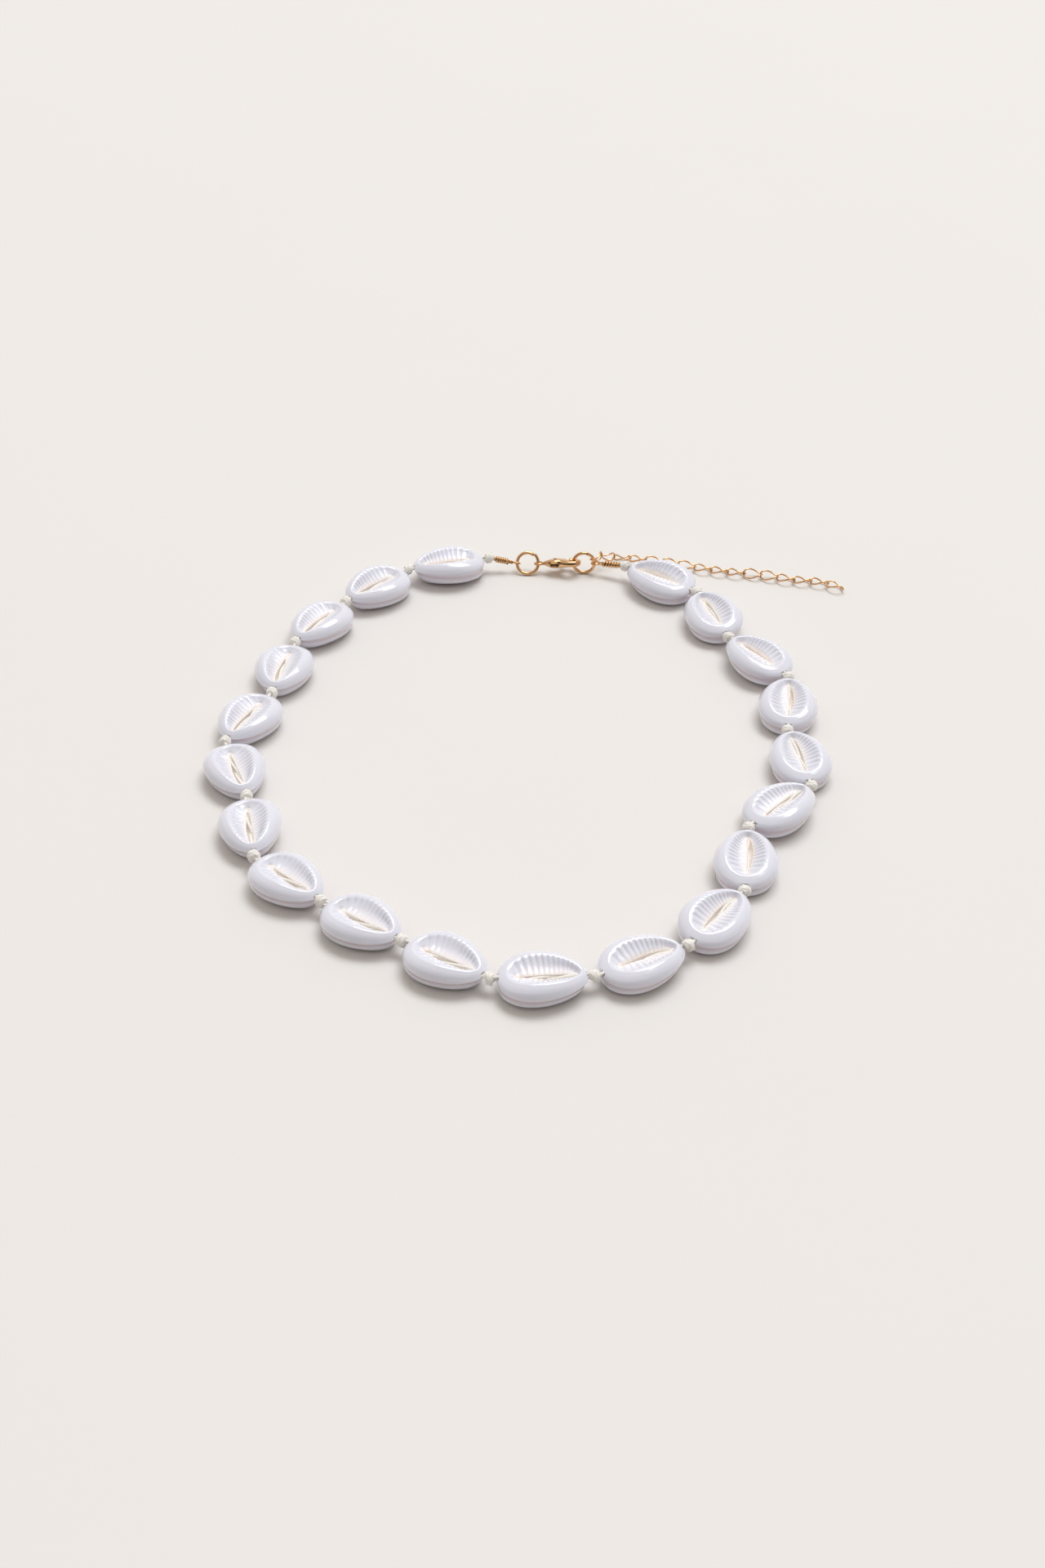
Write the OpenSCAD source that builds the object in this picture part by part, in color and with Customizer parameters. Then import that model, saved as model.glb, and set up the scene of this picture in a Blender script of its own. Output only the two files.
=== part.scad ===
// Shell necklace, laid out flat in an egg-shaped loop, clasp at the far side.
// Units are millimetres. +Z is up, the surface it lies on is z = 0, and the viewer stands at -Y.
// Each shell has its own frame: +X along the cord towards the narrow end, the bore axis at z = 0.

/* [String] */
// Distance between two neighbouring knots
pitch = 21; // [20.8:0.1:22]
// Thickness of the cord inside a shell
cord_d = 1.4; // [1.0:0.1:1.6]
// Largest diameter of a knot
knot_d = 2.9; // [2.4:0.1:3.0]

/* [Shell] */
// Length along the cord
shell_l = 18.6; // [17.6:0.1:18.6]
// Width across the cord
shell_w = 13.9; // [13:0.1:14.4]
// Height from the flat back to the rim
shell_h = 6.2; // [6:0.1:6.7]
// Height of the bore above the flat back
bore_h = 3.7; // [3.6:0.1:3.8]
// Diameter of the bore
bore_d = 2.2; // [2.0:0.1:2.4]
// Teeth on each side of the slit
tooth_count = 12; // [10:1:12]
// How far a tooth stands above the valleys beside it
tooth_h = 0.55; // [0.2:0.05:0.7]

/* [Findings] */
// Outer diameter of a jump ring
ring_d = 6.2; // [5.8:0.1:6.4]
// Wire of a jump ring
ring_wire = 0.8; // [0.7:0.05:0.9]
// How far the left jump ring leans back from upright, in degrees
ring_left_lean = 38; // [20:1:45]
// How far the right jump ring leans back from upright, in degrees
ring_right_lean = 5; // [0:1:15]
// Outer diameter of a crimp
crimp_d = 1.7; // [1.6:0.1:2.0]
// Outer diameter of the small eye on a crimp
crimp_eye_d = 2.3; // [2.2:0.1:2.5]
// Length of the clasp, over all
clasp_l = 12; // [11.6:0.1:12.4]
// Thickness of the clasp's housing
clasp_t = 2.4; // [2.2:0.1:2.6]
// How far the clasp rolls off flat, its lever side down, in degrees
clasp_roll = 20; // [10:1:30]

/* [Extender] */
// Distance from link to link
link_pitch = 4.25; // [4:0.05:4.5]
// Wire of a link
link_wire = 0.55; // [0.45:0.05:0.6]
// Outer width of a link
link_w = 3.5; // [3.3:0.1:3.8]
// Twist of a link from end to end, in degrees
link_twist = 90; // [60:5:100]

/* [Hidden] */
$fn = 32;

// Small gap between pieces that lie against each other
gap = 0.12;

// The layout's middle, which the model's origin is set under
middle = [4.7, 10.1];

// Colours
pearl = [0.90, 0.89, 0.94];
cream = [0.94, 0.92, 0.84];
gold = [0.85, 0.62, 0.36];

// The loop: a row for each shell, from the left end of the cord round the front to the right end.
// HEADING is the way the narrow end points, counted from +X, and ROLL turns the shell about the cord.
HEADING = 0;
ROLL = 1;
shell_rows = [
    [195, 4], [225, -3], [238, 3], [260, 0], [245, 0],
    [289, 0], [280, 3], [317, -2], [325, 0], [328, 0],
    [2, 0], [25, 0], [53, 4], [83, 0], [44, -4],
    [99, 0], [84, 0], [128, 3], [108, -4], [145, -3]
];
shell_count = len(shell_rows);
first_knot = [-8.6, 88.6];

// The shell's outer skin, from the flat back up to the shoulder of the rim, and its inner skin, from
// the rim's crest down the toothed trough to the slit. Lengths and widths are shares of half the
// shell's, heights are shares of its height, DROP is how much lower the ring lies at both ends of the
// shell than at its sides, TAPER narrows it towards the narrow end, and SHIFT moves it that way.
LENGTH = 0;
WIDTH = 1;
HEIGHT = 2;
DROP = 3;
TAPER = 4;
SHIFT = 5;
back_row = [0.59, 0.47, 0.00, 0.00, 0.06, -0.35];
outer_rows = [
    back_row,
    [0.85, 0.74, 0.09, 0.00, 0.11, -0.4],
    [0.94, 0.925, 0.29, 0.00, 0.135, -0.2],
    [0.935, 0.92, 0.41, 0.00, 0.14, 0.0],
    [1.00, 1.00, 0.56, 0.03, 0.14, 0.0],
    [0.94, 0.91, 0.79, 0.09, 0.16, 0.1]
];
crest_row = [0.82, 0.64, 1.00, 0.16, 0.18, 0.4];
tooth_row = [0.73, 0.48, 0.88, 0.14, 0.25, 0.6];
slit_row = [0.66, 0.10, 0.66, 0.00, -0.50, 0.7];
floor_row = [0.62, 0.08, 0.53, 0.00, -0.50, 0.7];

// Points on an outer ring; an inner ring has twice as many, two to each tooth
outer_points = 2 * tooth_count;
inner_points = 2 * outer_points;
// How evenly the points are spread along the shell: 0 is even in angle and 1 is even in length
outer_spread = 0.15;
inner_spread = 0.6;

// Cord and knots
wrap_d = 0.95;
wrap_step = 0.62;
cord_end_d = 0.9;

// Findings
ring_r = (ring_d - ring_wire) / 2;
ring_gap_angle = 5;
crimp_eye_wire = 0.45;
crimp_eye_r = (crimp_eye_d - crimp_eye_wire) / 2;
crimp_strip = [1.4, 0.9, 0.35];
crimp_neck = 2.0;
crimp_ribs = 5;
crimp_bore = cord_end_d + 2 * gap;
crimp_to_knot = 0.3;
clasp_eye_wire = 0.55;
clasp_eye_r = 1.0;
hook_wire = 1.5;
hook_r = 1.75;
hook_ball = 1.7;
housing = [4.3, -0.1];
housing_r = 2.1;
pivot = [4.1, 0.4];
pivot_pin = 0.7;
pivot_bore = 0.8;
lever_t = 0.9;
lever_root_r = 1.0;
lever_tip = [6.55, 1.62];
lever_knob = [6.1, 2.45];
lever_knob_d = 1.3;
slot_t = 1.1;

// The line of findings runs nearly straight from the first knot to the right ring
findings_heading = -2.5;
left_eye_from_knot = 7.05;
left_eye_height = 2.6;
right_eye_height = 3.1;
ring_pull = crimp_eye_r - crimp_eye_wire / 2 - ring_wire / 2 - gap;
clasp_pull = clasp_eye_r - clasp_eye_wire / 2 - ring_wire / 2 - gap;
hook_end = clasp_l - clasp_eye_r - clasp_eye_wire / 2;
hook_centre = hook_end - hook_r - hook_wire / 2;
ring_in_hook = hook_centre + hook_r - hook_wire / 2 - ring_wire / 2 - gap;

// The extender: a row for each link, from the right ring to the free end.
// WAY is the way the link points, counted from +X, FALL is how steeply it goes down, and TURN rolls
// it about its own length.
WAY = 0;
FALL = 1;
TURN = 2;
link_rows = [
    [55, 11, -58], [30, 27, -54], [6, 6.5, -26], [-16, 0, -16],
    [-14, 0, 16], [-13, 0, 16], [-15, 0, 9], [-17, 0, -13],
    [-13, 0, -16], [-11, 0, -16], [-8, 0, 16], [-17, 0, 11],
    [-16, 0, -12], [-7, 0, -16], [-15, 0, -16], [-36, 0, -15]
];
link_on_ring_angle = 27;
link_on_ring_back = 0.48;
link_gap = 0.28;
link_points = 14;
link_sides = 6;

function shell_name(i) = str("shell_", i < 10 ? "0" : "", i);

// Unit vector of a heading and a rise, both in degrees
function way(heading, rise = 0) = [
    cos(rise) * cos(heading),
    cos(rise) * sin(heading),
    sin(rise)
];
function flat_way(heading) = [cos(heading), sin(heading)];

// Knots in plan: knot 0 is before shell 1, and knot i is after shell i
function knot_at(i) = i == 0
    ? first_knot - middle
    : knot_at(i - 1) + pitch * flat_way(shell_rows[i - 1][HEADING]);

// Height of shell i's bore above the surface: a rolled shell stands on the edge of its flat back
function bore_height(i) =
    let (roll = shell_rows[i - 1][ROLL])
    bore_h * cos(roll) + back_row[WIDTH] * shell_w / 2 * abs(sin(roll));

function knot_height(i) =
    i == 0 ? bore_height(1)
    : i == shell_count ? bore_height(shell_count)
    : (bore_height(i) + bore_height(i + 1)) / 2;

function knot_place(i) = concat(knot_at(i), [knot_height(i)]);

// Mean heading of the cord at a knot
function knot_heading(i) =
    let (before = flat_way(shell_rows[max(i - 1, 0)][HEADING]))
    let (after = flat_way(shell_rows[min(i, shell_count - 1)][HEADING]))
    atan2(before.y + after.y, before.x + after.x);

// Position along a shell from 1 at the narrow end to -1 at the blunt end, and back, as k goes round
function along(k, count, spread) =
    let (turn = 360 * k / count)
    let (half = turn <= 180 ? turn / 180 : 2 - turn / 180)
    (1 - spread) * cos(turn) + spread * (1 - 2 * half);

// Point k of a ring of the shell's skin
function ring_point(row, k, count, spread, lift = 0) =
    let (c = along(k, count, spread))
    let (s = sqrt(max(0, 1 - c * c)) * (2 * k < count ? 1 : -1))
    [
        row[LENGTH] * shell_l / 2 * c + row[SHIFT],
        row[WIDTH] * shell_w / 2 * s * (1 - row[TAPER] * c),
        (row[HEIGHT] - row[DROP] * c * c) * shell_h + lift - bore_h
    ];

function outer_ring(row) = [
    for (k = [0 : outer_points - 1]) ring_point(row, k, outer_points, outer_spread)
];
function inner_ring(row, lift = 0) = [
    for (k = [0 : inner_points - 1])
        ring_point(row, k, inner_points, inner_spread, k % 2 == 0 ? -lift / 2 : lift / 2)
];

// Faces between two rings of the same number of points, which start at points a and b
function band(a, b, count) = [
    for (k = [0 : count - 1])
        let (n = (k + 1) % count)
        each [[a + k, b + n, a + n], [a + k, b + k, b + n]]
];

// Faces between a coarse ring and one with twice its points
function fan_out(a, b, count) = [
    for (k = [0 : count - 1])
        let (n = (k + 1) % count)
        each [
            [a + k, b + 2 * k + 1, a + n],
            [a + k, b + 2 * k, b + 2 * k + 1],
            [a + n, b + 2 * k + 1, b + 2 * n]
        ]
];
function fan_in(a, b, count) = [
    for (k = [0 : count - 1])
        let (n = (k + 1) % count)
        each [
            [b + k, b + n, a + 2 * k + 1],
            [b + k, a + 2 * k + 1, a + 2 * k],
            [b + n, a + 2 * n, a + 2 * k + 1]
        ]
];

module shell_skin() {
    points = concat(
        [for (row = outer_rows) each outer_ring(row)],
        inner_ring(crest_row),
        inner_ring(tooth_row, tooth_h),
        inner_ring(slit_row, tooth_h / 2),
        outer_ring(floor_row)
    );
    crest = len(outer_rows) * outer_points;
    tooth = crest + inner_points;
    slit = tooth + inner_points;
    floor = slit + inner_points;
    faces = concat(
        [[for (k = [0 : outer_points - 1]) k]],
        [for (r = [0 : len(outer_rows) - 2]) each band(r * outer_points, (r + 1) * outer_points, outer_points)],
        fan_out(crest - outer_points, crest, outer_points),
        band(crest, tooth, inner_points),
        band(tooth, slit, inner_points),
        fan_in(slit, floor, outer_points),
        [[for (k = [outer_points - 1 : -1 : 0]) floor + k]]
    );
    polyhedron(points, faces);
}

module shell(i) {
    place = concat((knot_at(i - 1) + knot_at(i)) / 2, [bore_height(i)]);
    color(pearl)
    translate(place)
    rotate([shell_rows[i - 1][ROLL], 0, shell_rows[i - 1][HEADING]])
    difference() {
        shell_skin();
        rotate([0, 90, 0]) cylinder(d = bore_d, h = shell_l + 2, center = true);
    }
}

// A round bar from one point to another
module bar(from, to, d) {
    v = to - from;
    translate(from)
    rotate([0, acos(v.z / norm(v)), atan2(v.y, v.x)])
    cylinder(d = d, h = norm(v));
}

// Three turns of cord drawn tight, about the X axis
module knot() {
    rotate([0, 90, 0])
    rotate_extrude() {
        for (step = [-1, 1]) translate([knot_d / 2 - wrap_d / 2 - gap, step * wrap_step]) circle(d = wrap_d);
        translate([knot_d / 2 - wrap_d / 2, 0]) circle(d = wrap_d);
        translate([0, -wrap_step]) square([knot_d / 2 - wrap_d / 2, 2 * wrap_step]);
    }
}

module thread() {
    color(cream)
    union() {
        for (i = [1 : shell_count])
            bar(
                concat(knot_at(i - 1), [bore_height(i)]),
                concat(knot_at(i), [bore_height(i)]),
                cord_d
            );
        for (i = [0 : shell_count])
            translate(knot_place(i)) rotate([0, 0, knot_heading(i)]) knot();
        bar(knot_place(0), crimp_mouth(left_eye(), knot_place(0)), cord_end_d);
        bar(knot_place(shell_count), crimp_mouth(right_eye(), knot_place(shell_count)), cord_end_d);
    }
}

// The findings' line in plan: a point at a distance from the first knot, at a height
function on_line(distance, height) =
    concat(knot_at(0) + distance * flat_way(findings_heading), [height]);

left_wire = left_eye_from_knot + ring_pull;
left_ring_centre = left_wire + ring_r;
clasp_eye = left_ring_centre + ring_r + clasp_pull;
right_ring_centre = clasp_eye + ring_in_hook + ring_r;
right_wire = right_ring_centre + ring_r;

function left_eye() = on_line(left_eye_from_knot, left_eye_height);
function right_eye() = on_line(right_wire + ring_pull, right_eye_height);

// Where the cord ends inside a crimp
function crimp_mouth(eye, knot) = eye + (crimp_neck + gap + 0.3) * (knot - eye) / norm(knot - eye);

// A ribbed crimp from its eye's centre towards a knot, its eye's hole along a lean
module crimp(eye, knot, lean) {
    v = knot - eye;
    reach = norm(v);
    body_l = reach - crimp_neck - wrap_step - wrap_d / 2 - crimp_to_knot;
    rib = body_l / crimp_ribs;
    color(gold)
    translate(eye)
    rotate([0, -asin(v.z / reach), atan2(v.y, v.x)])
    rotate([lean, 0, 0]) {
        rotate_extrude() translate([crimp_eye_r, 0]) circle(d = crimp_eye_wire);
        translate([crimp_eye_r - crimp_eye_wire / 4, -crimp_strip.y / 2, -crimp_strip.z / 2])
            cube([crimp_strip.x, crimp_strip.y, crimp_strip.z]);
        translate([crimp_neck, 0, 0])
        rotate([0, 90, 0])
        difference() {
            union() {
                cylinder(d = crimp_d - rib / 2, h = body_l);
                for (k = [0 : crimp_ribs - 1])
                    translate([0, 0, (k + 0.2) * rib]) cylinder(d = crimp_d, h = 0.6 * rib);
            }
            translate([0, 0, 0.3]) cylinder(d = crimp_bore, h = body_l);
        }
    }
}

module crimp_left() {
    crimp(left_eye(), knot_place(0), 90 - 52);
}

module crimp_right() {
    crimp(right_eye(), knot_place(shell_count), -ring_right_lean);
}

// A split jump ring standing on its edge, leaning back
module jump_ring(distance, height, lean, gap_at) {
    color(gold)
    translate(on_line(distance, height))
    rotate([90 - lean, 0, findings_heading])
    rotate([0, 0, gap_at])
    rotate_extrude(angle = 360 - ring_gap_angle) translate([ring_r, 0]) circle(d = ring_wire);
}

module ring_left() {
    jump_ring(left_ring_centre, left_eye_height, ring_left_lean, 55);
}

module ring_right() {
    jump_ring(right_ring_centre, right_eye_height, ring_right_lean, 75);
}

// Places a child drawn in the clasp's frame: its eye at the origin and its hook towards +X
module place_clasp() {
    from = on_line(clasp_eye, left_eye_height);
    to = on_line(clasp_eye + ring_in_hook, right_eye_height);
    v = to - from;
    translate(from)
    rotate([0, -asin(v.z / norm(v)), atan2(v.y, v.x)])
    rotate([-clasp_roll, 0, 0])
    children();
}

// A disc with a round rim, about the Z axis
module round_disc(r, t) {
    points = concat(
        [[0, -t / 2]],
        [for (a = [-90 : 30 : 90]) [r - t / 2 + t / 2 * cos(a), t / 2 * sin(a)]],
        [[0, t / 2]]
    );
    rotate_extrude() polygon(points);
}

module clasp_body() {
    arm_start = housing.x + 0.4;
    color(gold)
    place_clasp()
    union() {
        difference() {
            union() {
                rotate_extrude() translate([clasp_eye_r, 0]) circle(d = clasp_eye_wire);
                translate([clasp_eye_r - 0.1, 0, 0]) rotate([0, 90, 0])
                    cylinder(d1 = 1.1, d2 = 2.1, h = housing.x - housing_r - clasp_eye_r + 0.6);
                translate([housing.x, housing.y, 0]) round_disc(housing_r, clasp_t);
            }
            translate([pivot.x - lever_root_r - 0.1, pivot.y - lever_root_r - 0.1, -slot_t / 2])
                cube([2 * housing_r, 2 * housing_r, slot_t]);
        }
        translate([pivot.x, pivot.y, -slot_t / 2 - 0.2]) cylinder(d = pivot_pin, h = slot_t + 0.4);
        translate([arm_start, -hook_r, 0]) rotate([0, 90, 0])
            cylinder(d = hook_wire, h = hook_centre - arm_start);
        translate([hook_centre, 0, 0]) rotate([0, 0, -90])
            rotate_extrude(angle = 180) translate([hook_r, 0]) circle(d = hook_wire);
        translate([hook_centre, hook_r, 0]) sphere(d = hook_ball);
    }
}

module clasp_lever() {
    color(gold)
    place_clasp()
    difference() {
        union() {
            translate([pivot.x, pivot.y, -lever_t / 2]) cylinder(r = lever_root_r, h = lever_t);
            bar(concat(pivot, [0]), concat(lever_tip, [0]), lever_t - 0.04);
            translate(concat(lever_tip, [0])) sphere(d = lever_t + 0.1);
            translate(concat(lever_knob, [0])) sphere(d = lever_knob_d);
        }
        translate([pivot.x, pivot.y, -lever_t]) cylinder(d = pivot_bore, h = 2 * lever_t);
    }
}

// Half the centre line's length of a link, and the distance by which two links overlap
link_overlap = link_wire + link_gap;
link_half = (link_pitch + link_overlap) / 2;
link_side = (link_w - link_wire) / 2;

// The place on the right ring that the first link holds
function link_on_ring() =
    on_line(right_ring_centre + ring_r * cos(link_on_ring_angle), 0)
    + ring_r * sin(link_on_ring_angle) * [0, sin(ring_right_lean), cos(ring_right_lean)]
    + [0, 0, right_eye_height];

// Where link i starts; the first one is hooked round the ring's wire
function link_start(i) = i == 0
    ? link_on_ring() - link_on_ring_back * way(link_rows[0][WAY], -link_rows[0][FALL])
    : link_start(i - 1) + link_pitch * way(link_rows[i - 1][WAY], -link_rows[i - 1][FALL]);

// A twisted link along +X, starting at the origin
module link() {
    points = [
        for (k = [0 : link_points - 1])
            let (turn = 360 * k / link_points, fold = link_twist / 2 * cos(turn))
            let (out = [link_side * cos(turn), link_half * sin(turn)] / norm([link_side * cos(turn), link_half * sin(turn)]))
            for (m = [0 : link_sides - 1])
                let (side = 360 * m / link_sides)
                let (x = link_half * cos(turn) + link_wire / 2 * cos(side) * out.x)
                let (y = link_side * sin(turn) + link_wire / 2 * cos(side) * out.y)
                let (z = link_wire / 2 * sin(side))
                [x, y * cos(fold) + z * sin(fold), z * cos(fold) - y * sin(fold)]
    ];
    faces = [
        for (k = [0 : link_points - 1])
            let (a = k * link_sides, b = (k + 1) % link_points * link_sides)
            for (m = [0 : link_sides - 1])
                let (n = (m + 1) % link_sides)
                each [[a + m, a + n, b + m], [a + n, b + n, b + m]]
    ];
    translate([link_pitch / 2, 0, 0]) polyhedron(points, faces);
}

module extender_chain() {
    color(gold)
    for (i = [0 : len(link_rows) - 1])
        translate(link_start(i))
        rotate([0, link_rows[i][FALL], link_rows[i][WAY]])
        rotate([link_rows[i][TURN], 0, 0])
        link();
}

for (i = [1 : shell_count])
    shell(i);
thread();
crimp_left();
crimp_right();
ring_left();
ring_right();
clasp_body();
clasp_lever();
extender_chain();
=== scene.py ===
# Shell necklace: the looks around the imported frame. Sizes of the pieces and the camera's place
# are in millimetres, and those of the finishes, the stage and the light in metres. Angles are
# in degrees.
import math
import random

import bmesh
import bpy
from mathutils import Euler, Matrix, Vector


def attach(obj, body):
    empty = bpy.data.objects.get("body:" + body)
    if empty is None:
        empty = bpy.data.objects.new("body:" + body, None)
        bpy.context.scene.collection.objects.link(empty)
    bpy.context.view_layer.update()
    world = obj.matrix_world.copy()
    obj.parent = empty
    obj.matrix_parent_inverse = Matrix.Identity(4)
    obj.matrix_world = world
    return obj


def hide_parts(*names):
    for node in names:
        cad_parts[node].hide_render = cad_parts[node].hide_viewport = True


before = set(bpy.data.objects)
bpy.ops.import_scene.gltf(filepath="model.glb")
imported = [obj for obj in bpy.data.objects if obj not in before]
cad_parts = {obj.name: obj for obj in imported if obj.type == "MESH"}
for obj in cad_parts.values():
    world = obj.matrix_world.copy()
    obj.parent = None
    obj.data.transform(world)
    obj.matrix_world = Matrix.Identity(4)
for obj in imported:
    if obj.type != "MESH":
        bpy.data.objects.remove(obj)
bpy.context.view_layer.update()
print("frame loaded:", len(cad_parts), "nodes")

mm = 0.001


def addObject(name, data):
    thing = bpy.data.objects.new(name, data)
    bpy.context.scene.collection.objects.link(thing)
    return thing


# Camera, set before anything else so that the framing is known
view = {
    "target": (-4.7, -10.0, 0.0),
    "distance": 487.2,
    "elevation": 38.0,
    "lens": 50.0,
}

cameraData = bpy.data.cameras.new("camera")
cameraData.sensor_fit = "VERTICAL"
cameraData.sensor_height = 36.0
cameraData.lens = view["lens"]
cameraData.clip_start = 0.01
cameraData.clip_end = 20.0
camera = addObject("camera", cameraData)
tilt = math.radians(view["elevation"])
camera.location = Vector(view["target"]) * mm + Vector(
    (0.0, -math.cos(tilt), math.sin(tilt))
) * view["distance"] * mm
camera.rotation_euler = (math.pi / 2 - tilt, 0.0, 0.0)
bpy.context.scene.camera = camera
print("camera placed")


# Helpers for node trees
def feed(tree, value, socket):
    if isinstance(value, Field):
        tree.links.new(value.socket, socket)
    elif isinstance(value, bpy.types.NodeSocket):
        tree.links.new(value, socket)
    else:
        socket.default_value = value


class Field:  # a number field in a node tree, so that a rule can be written as a sum
    def __init__(self, tree, socket):
        self.tree = tree
        self.socket = socket

    def op(self, operation, *others):
        node = self.tree.nodes.new("ShaderNodeMath")
        node.operation = operation
        feed(self.tree, self, node.inputs[0])
        for k, other in enumerate(others):
            feed(self.tree, other, node.inputs[k + 1])
        return Field(self.tree, node.outputs[0])

    def __add__(self, other):
        return self.op("ADD", other)

    __radd__ = __add__

    def __sub__(self, other):
        return self.op("SUBTRACT", other)

    def __rsub__(self, other):
        return (self * -1.0).op("ADD", other)

    def __mul__(self, other):
        return self.op("MULTIPLY", other)

    __rmul__ = __mul__

    def __truediv__(self, other):
        return self.op("DIVIDE", other)

    def step(self, low, high):  # smooth step from low to high
        node = self.tree.nodes.new("ShaderNodeMapRange")
        node.interpolation_type = "SMOOTHSTEP"
        feed(self.tree, self, node.inputs["Value"])
        feed(self.tree, low, node.inputs["From Min"])
        feed(self.tree, high, node.inputs["From Max"])
        return Field(self.tree, node.outputs["Result"])


def newTree(name, values, **others):  # a whole number makes an Int input, any other a Float
    tree = bpy.data.node_groups.new(name, "GeometryNodeTree")
    tree.interface.new_socket("Geometry", in_out="INPUT", socket_type="NodeSocketGeometry")
    tree.interface.new_socket("Geometry", in_out="OUTPUT", socket_type="NodeSocketGeometry")
    kinds = {label: "Int" if isinstance(value, int) else "Float"
             for label, value in values.items()}
    for label, kind in {**kinds, **others, "Material": "Material"}.items():
        tree.interface.new_socket(label, in_out="INPUT", socket_type="NodeSocket" + kind)
    start = tree.nodes.new("NodeGroupInput")
    end = tree.nodes.new("NodeGroupOutput")
    size = {label: Field(tree, start.outputs[label])
            for label, kind in kinds.items() if kind == "Float"}
    return tree, start, end, size


def addNode(tree, kind, values=None, **settings):
    node = tree.nodes.new("GeometryNode" + kind)
    for key, value in settings.items():
        setattr(node, key, value)
    for key, value in (values or {}).items():
        feed(tree, value, node.inputs[key])
    return node


def vector(tree, x, y, z):
    node = tree.nodes.new("ShaderNodeCombineXYZ")
    for socket, value in zip(node.inputs, (x, y, z)):
        feed(tree, value, socket)
    return node.outputs[0]


def split(tree, socket):
    node = tree.nodes.new("ShaderNodeSeparateXYZ")
    tree.links.new(socket, node.inputs[0])
    return [Field(tree, out) for out in node.outputs]


def vectorMath(tree, operation, *sockets):
    node = tree.nodes.new("ShaderNodeVectorMath")
    node.operation = operation
    for value, socket in zip(sockets, node.inputs):
        feed(tree, value, socket)
    return node.outputs[0]


def scaled(tree, direction, amount):  # a vector field times a number field
    node = tree.nodes.new("ShaderNodeVectorMath")
    node.operation = "SCALE"
    feed(tree, direction, node.inputs[0])
    feed(tree, amount, node.inputs["Scale"])
    return node.outputs[0]


def readField(tree, label, kind="FLOAT"):
    return addNode(tree, "InputNamedAttribute", {"Name": label}, data_type=kind).outputs[0]


def storeField(tree, geometry, label, value):
    return addNode(tree, "StoreNamedAttribute", {
        "Geometry": geometry, "Name": label, "Value": value,
    }, data_type="FLOAT", domain="POINT").outputs[0]


def moved(tree, geometry, place, turn):
    return addNode(tree, "Transform", {
        "Geometry": geometry, "Translation": place, "Rotation": turn}).outputs[0]


def joined(tree, *parts):
    node = addNode(tree, "JoinGeometry")
    for part in reversed(parts):
        tree.links.new(part, node.inputs[0])
    return node.outputs[0]


def tubeAlong(tree, curve, radius, sides, along):  # a round tube that knows where it is on itself
    rail = storeField(tree, curve, "strandAlong", along)
    ring = addNode(tree, "CurvePrimitiveCircle", {"Resolution": sides, "Radius": radius})
    factor = Field(tree, addNode(tree, "SplineParameter").outputs["Factor"])
    profile = storeField(tree, ring.outputs["Curve"], "strandAround",
                         (factor * 2.0 - 1.0).op("ABSOLUTE"))
    tube = addNode(tree, "CurveToMesh", {
        "Curve": rail, "Profile Curve": profile, "Fill Caps": True})
    return tube.outputs[0]


def endTree(tree, start, end, geometry):  # every tree ends in Realize Instances and Set Material
    if start.outputs.get("Place"):
        geometry = moved(tree, geometry, start.outputs["Place"], start.outputs["Turn"])
    smooth = addNode(tree, "SetShadeSmooth", {"Geometry": geometry})
    realize = addNode(tree, "RealizeInstances", {"Geometry": smooth.outputs[0]})
    paint = addNode(tree, "SetMaterial", {
        "Geometry": realize.outputs[0], "Material": start.outputs["Material"],
    })
    tree.links.new(paint.outputs[0], end.inputs[0])


def makePiece(name, tree, values, source=None, body="necklace"):
    data = source or bpy.data.meshes.new(name + "Source")
    carrier = addObject(name + "Source", data)
    modifier = carrier.modifiers.new(name, "NODES")
    modifier.node_group = tree
    for item in tree.interface.items_tree:
        if item.in_out == "INPUT" and item.name in values:
            modifier[item.identifier] = values[item.name]
    bpy.context.view_layer.update()
    graph = bpy.context.evaluated_depsgraph_get()
    mesh = bpy.data.meshes.new_from_object(carrier.evaluated_get(graph), depsgraph=graph)
    carrier.modifiers.remove(modifier)
    bpy.data.objects.remove(carrier)
    mesh.name = name
    return finishPiece(addObject(name, mesh), body)


def finishPiece(piece, body):
    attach(piece, body)
    return piece


# Materials
def setInputs(node, values):
    for label, value in values.items():
        node.inputs[label].default_value = value


def newMaterial(name):
    material = bpy.data.materials.new(name)
    material.use_nodes = True
    nodes = material.node_tree.nodes
    return material, nodes, material.node_tree.links, nodes["Principled BSDF"]


def buildMottle():  # soft cloudy variation, shared by all the finishes
    group = bpy.data.node_groups.new("softMottle", "ShaderNodeTree")
    group.interface.new_socket("Scale", in_out="INPUT", socket_type="NodeSocketFloat")
    group.interface.new_socket("Fine Scale", in_out="INPUT", socket_type="NodeSocketFloat")
    group.interface.new_socket("Cloud", in_out="OUTPUT", socket_type="NodeSocketFloat")
    group.interface.new_socket("Grain", in_out="OUTPUT", socket_type="NodeSocketFloat")
    start = group.nodes.new("NodeGroupInput")
    end = group.nodes.new("NodeGroupOutput")
    place = group.nodes.new("ShaderNodeTexCoord")
    for label, detail in (("Scale", 2.0), ("Fine Scale", 5.0)):
        noise = group.nodes.new("ShaderNodeTexNoise")
        noise.inputs["Detail"].default_value = detail
        group.links.new(place.outputs["Object"], noise.inputs["Vector"])
        group.links.new(start.outputs[label], noise.inputs["Scale"])
        group.links.new(noise.outputs["Fac"], end.inputs["Cloud" if label == "Scale" else "Grain"])
    return group


mottle = buildMottle()


def addMottle(nodes, scale, fineScale):
    node = nodes.new("ShaderNodeGroup")
    node.node_tree = mottle
    setInputs(node, {"Scale": scale, "Fine Scale": fineScale})
    return node


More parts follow.
